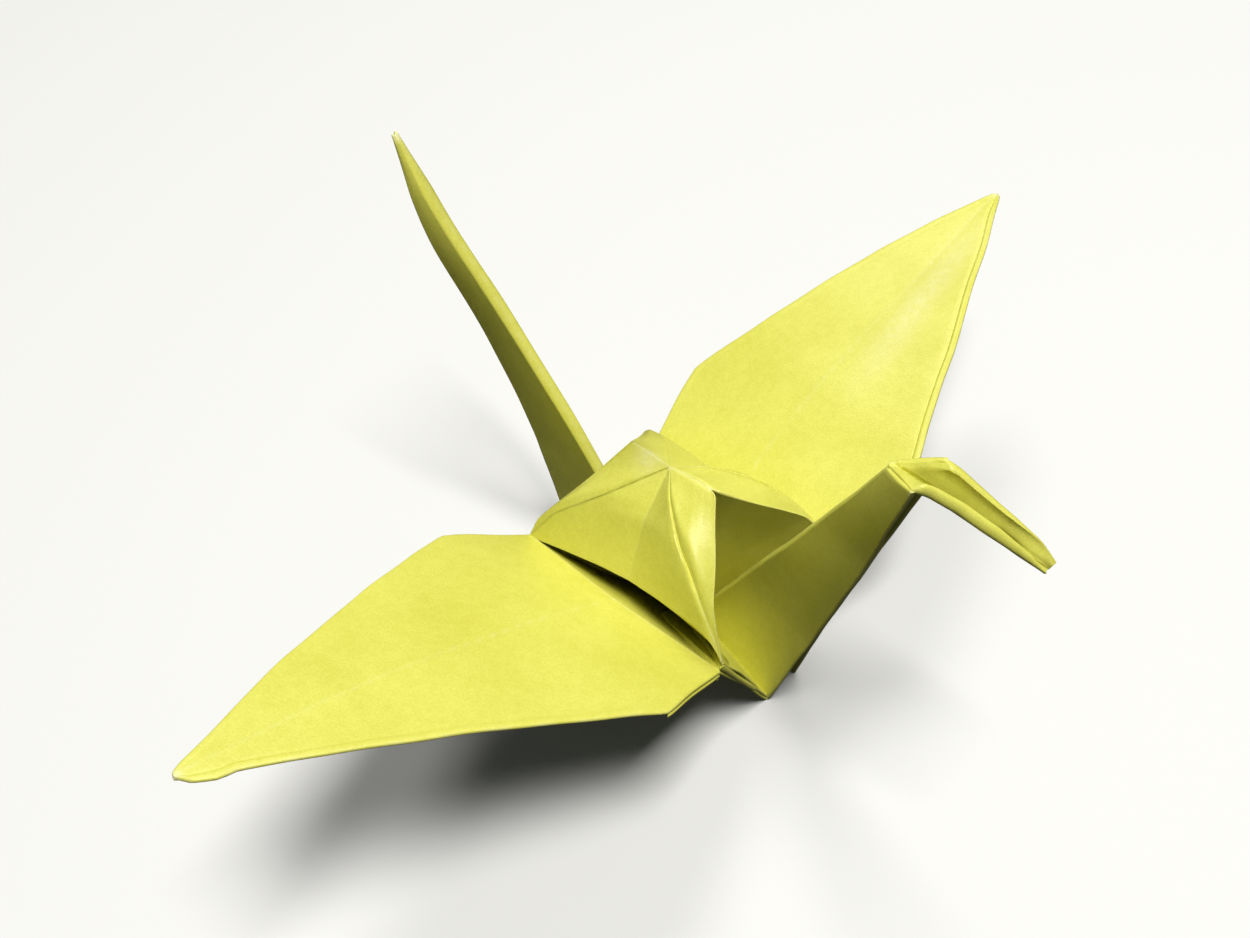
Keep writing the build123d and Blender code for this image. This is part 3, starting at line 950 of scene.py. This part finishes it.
def paper_material(name, colour, deep, pale, dark):
    """Thin paper: mottling, fibres, a faint tooth, worn creases, painted highlights and painted
    shade.

    The mottling runs from the deep tone to the colour. The mesh's attribute of wear and painted
    light turns the paper pale above zero, in patches, for wear and painted highlights, and dark
    below, as painted shade."""
    material = bpy.data.materials.new(name)
    material.use_nodes = True
    nodes, links = material.node_tree.nodes, material.node_tree.links
    shader = nodes["Principled BSDF"]
    shader.inputs["Roughness"].default_value = 0.38
    shader.inputs["Specular IOR Level"].default_value = 0.5
    place = nodes.new("ShaderNodeTexCoord")

    def noise(scale, detail, roughness):
        texture = nodes.new("ShaderNodeTexNoise")
        texture.inputs["Scale"].default_value = scale
        texture.inputs["Detail"].default_value = detail
        texture.inputs["Roughness"].default_value = roughness
        links.new(place.outputs["Object"], texture.inputs["Vector"])
        return texture.outputs["Fac"]

    def maths(operation, first, second):
        node = nodes.new("ShaderNodeMath")
        node.operation = operation
        for socket, value in zip(node.inputs, (first, second)):
            if isinstance(value, (int, float)):
                socket.default_value = value
            else:
                links.new(value, socket)
        return node.outputs["Value"]

    def blended(factor, first, second):
        node = nodes.new("ShaderNodeMix")
        node.data_type = "RGBA"
        links.new(factor, node.inputs["Factor"])
        links.new(first, node.inputs["A"])
        node.inputs["B"].default_value = (*second, 1)
        return node.outputs["Result"]

    tooth = maths("ADD", noise(*MOTTLE), noise(*GRAIN))
    tone = maths("MULTIPLY", maths("ADD", tooth, noise(*CLOUD)), 1 / 3)
    ramp = nodes.new("ShaderNodeValToRGB")
    links.new(tone, ramp.inputs["Fac"])
    for stop, position, shade in zip(ramp.color_ramp.elements, TONE_STOPS, (deep, colour)):
        stop.position = position
        stop.color = (*shade, 1)
    wear_and_painted_light = nodes.new("ShaderNodeAttribute")
    wear_and_painted_light.attribute_name = "wear_and_painted_light"
    patchy = maths("ADD", maths("MULTIPLY", noise(*PATCHES), PATCH_GAIN), PATCH_OFFSET)
    # Pale for wear and painted highlights, dark for painted shade
    wear_and_painted_highlight = maths("MULTIPLY", maths("MAXIMUM", wear_and_painted_light.outputs["Fac"], 0.0), patchy)
    painted_shade = maths("MAXIMUM", maths("MULTIPLY", wear_and_painted_light.outputs["Fac"], -1.0), 0.0)
    looks = blended(painted_shade, blended(wear_and_painted_highlight, ramp.outputs["Color"], pale), dark)
    links.new(looks, shader.inputs["Base Color"])
    bump = nodes.new("ShaderNodeBump")
    bump.inputs["Strength"].default_value = 0.5
    bump.inputs["Distance"].default_value = 0.00003
    links.new(tooth, bump.inputs["Height"])
    links.new(bump.outputs["Normal"], shader.inputs["Normal"])
    return material


crane = build("folded_paper")
# PALE is worn paper and painted highlight, DARK is painted shade
PALE, DARK = (0.90, 0.89, 0.55), (0.24, 0.23, 0.015)
front = paper_material("paper_front", (0.805, 0.785, 0.15), (0.685, 0.665, 0.085), PALE, DARK)
reverse = paper_material("paper_reverse", (0.86, 0.86, 0.80), (0.78, 0.78, 0.72), PALE, DARK)
edge = paper_material("paper_edge", (0.84, 0.81, 0.40), (0.74, 0.70, 0.30), PALE, DARK)
for material in (front, reverse, edge):
    crane.data.materials.append(material)
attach(crane, "root")
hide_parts("folded_sheet")

BACKDROP = (0.88, 0.88, 0.87, 1)  # what the camera sees round the floor
FLOOR_SEEN = (0.80, 0.80, 0.79, 1)
FLOOR_UNSEEN = (0.04, 0.04, 0.05, 1)  # for the light that it throws back, as a dark table does
AMBIENT, AMBIENT_STRENGTH = (0.86, 0.96, 1.0, 1), 0.06
FLOOR_HALF = 1.5
FLOOR_FADES = (0.10, 0.45)  # distances between which the floor passes into the backdrop


def mixed(tree, factor, first, second):
    """The first shader where the factor is 0, and the second where it is 1."""
    node = tree.nodes.new("ShaderNodeMixShader")
    for socket, value in zip(node.inputs, (factor, first, second)):
        tree.links.new(value, socket)
    return node.outputs["Shader"]


def coloured(tree, kind, output, colour):
    node = tree.nodes.new(kind)
    node.inputs["Color"].default_value = colour
    return node.outputs[output]


def is_camera_ray(tree):
    return tree.nodes.new("ShaderNodeLightPath").outputs["Is Camera Ray"]


def floor_material():
    """Pale to the camera and dark to all other light; further out it fades into the backdrop."""
    material = bpy.data.materials.new("floor")
    material.use_nodes = True
    tree = material.node_tree
    near = tree.nodes["Principled BSDF"]
    near.inputs["Base Color"].default_value = FLOOR_SEEN
    near.inputs["Roughness"].default_value = 0.9
    place = tree.nodes.new("ShaderNodeTexCoord")
    distance = tree.nodes.new("ShaderNodeVectorMath")
    distance.operation = "LENGTH"
    tree.links.new(place.outputs["Object"], distance.inputs[0])
    fading = tree.nodes.new("ShaderNodeMapRange")
    fading.interpolation_type = "SMOOTHSTEP"
    fading.inputs["From Min"].default_value, fading.inputs["From Max"].default_value = FLOOR_FADES
    tree.links.new(distance.outputs["Value"], fading.inputs["Value"])
    far = coloured(tree, "ShaderNodeEmission", "Emission", BACKDROP)
    seen = mixed(tree, fading.outputs["Result"], near.outputs["BSDF"], far)
    unseen = coloured(tree, "ShaderNodeBsdfDiffuse", "BSDF", FLOOR_UNSEEN)
    surface = mixed(tree, is_camera_ray(tree), unseen, seen)
    tree.links.new(surface, tree.nodes["Material Output"].inputs["Surface"])
    return material


def make_floor():
    mesh = bpy.data.meshes.new("floor")
    a = FLOOR_HALF
    mesh.from_pydata([(-a, -a, 0), (a, -a, 0), (a, a, 0), (-a, a, 0)], [], [(0, 1, 2, 3)])
    mesh.materials.append(floor_material())
    floor = bpy.data.objects.new("floor", mesh)
    bpy.context.scene.collection.objects.link(floor)
    return floor


def make_world():
    """A faint light from all round, and a pale backdrop that only the camera sees."""
    world = bpy.data.worlds.new("studio")
    world.use_nodes = True
    tree = world.node_tree
    ambient = tree.nodes["Background"]
    ambient.inputs["Color"].default_value = AMBIENT
    ambient.inputs["Strength"].default_value = AMBIENT_STRENGTH
    backdrop = coloured(tree, "ShaderNodeBackground", "Background", BACKDROP)
    surface = mixed(tree, is_camera_ray(tree), ambient.outputs["Background"], backdrop)
    tree.links.new(surface, tree.nodes["World Output"].inputs["Surface"])
    return world


def lamp(name, azimuth, elevation, distance, size, power, colour):
    """A soft square lamp that looks at the crane; azimuth turns from +Y towards +X."""
    data = bpy.data.lights.new(name, "AREA")
    data.shape = "SQUARE"
    data.size, data.energy, data.color = size, power, colour
    obj = bpy.data.objects.new(name, data)
    a, e = math.radians(azimuth), math.radians(elevation)
    way = Vector((math.sin(a) * math.cos(e), math.cos(a) * math.cos(e), math.sin(e)))
    obj.location = way * distance
    obj.rotation_euler = way.to_track_quat("Z", "Y").to_euler()
    bpy.context.scene.collection.objects.link(obj)


# The camera as fitted to the photograph, with its focal length in the photograph's pixels
CAMERA = {"azimuth": 49.1975, "elevation": 50.4441, "roll": -6.4513, "distance": 179.908}
TARGET = vec(-52.472, 41.096, -63.769)
FOCAL_PIXELS, PHOTO_WIDTH = 1236.855, 1250
SENSOR = 36.0


def make_camera():
    """The camera stands off its target; azimuth turns from -Y towards +X."""
    data = bpy.data.cameras.new("camera")
    data.sensor_width = SENSOR
    data.lens = SENSOR * FOCAL_PIXELS / PHOTO_WIDTH
    data.clip_start = 0.005
    camera = bpy.data.objects.new("camera", data)
    a, e = math.radians(CAMERA["azimuth"]), math.radians(CAMERA["elevation"])
    way = vec(math.sin(a) * math.cos(e), -math.cos(a) * math.cos(e), math.sin(e))
    camera.location = Vector((TARGET + CENTRING + way * CAMERA["distance"]) * 0.001)
    camera.rotation_euler = Vector(way).to_track_quat("Z", "Y").to_euler()
    camera.rotation_euler.rotate_axis("Z", math.radians(CAMERA["roll"]))
    bpy.context.scene.collection.objects.link(camera)
    return camera


floor = make_floor()
bpy.context.scene.world = make_world()
# Azimuth, elevation, distance and size in metres, power in watts, and colour
lamp("key", 90, 78, 0.6, 0.2, 3.6, (1.0, 0.99, 0.96))
lamp("window", -50, 54, 0.7, 0.2, 1.35, (1.0, 0.985, 0.95))
bpy.context.scene.camera = make_camera()
bpy.context.scene.view_settings.view_transform = "Standard"
